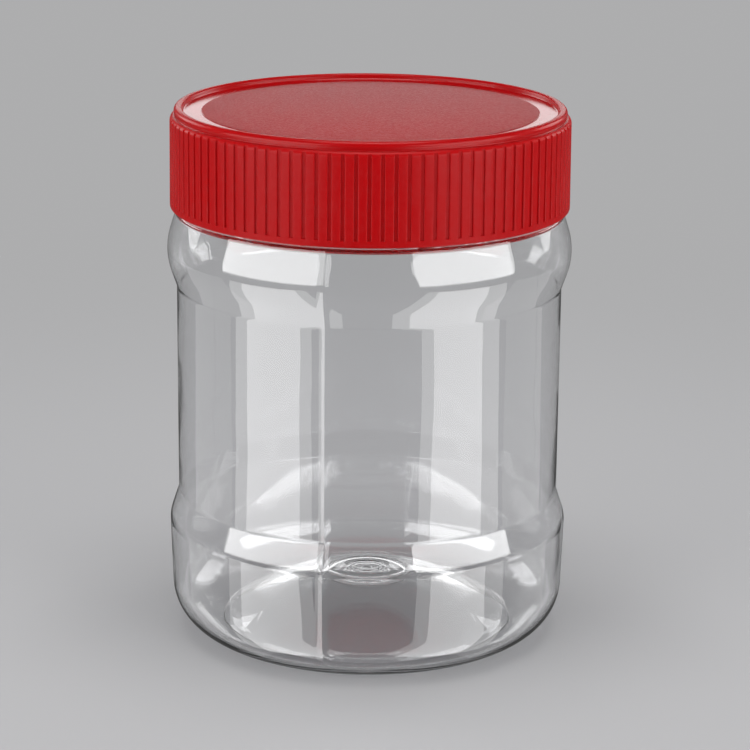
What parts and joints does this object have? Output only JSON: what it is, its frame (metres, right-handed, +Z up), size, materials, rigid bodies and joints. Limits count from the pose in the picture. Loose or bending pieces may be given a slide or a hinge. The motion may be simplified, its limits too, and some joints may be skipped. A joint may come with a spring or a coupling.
{
  "type": "clear plastic jar with screw lid",
  "caption": "Empty wide-mouth storage jar of clear moulded plastic with a rounded shoulder bead, a straight label panel, a domed base and a red ribbed screw lid.",
  "frame": {"origin": "centre of the foot ring, on the surface the jar stands on", "axes": "+Z up along the jar's axis; the jar is the same all round, and one rib groove faces -Y"},
  "size_m": [0.0861, 0.086, 0.1148],
  "materials": {
    "clear_plastic": "clear, colourless, glossy and see-through",
    "red_plastic": "bright red, satin gloss, with a fine grained top panel"
  },
  "bodies": {
    "root": {"jar": "clear_plastic", "lid": "red_plastic"}
  },
  "joints": []
}
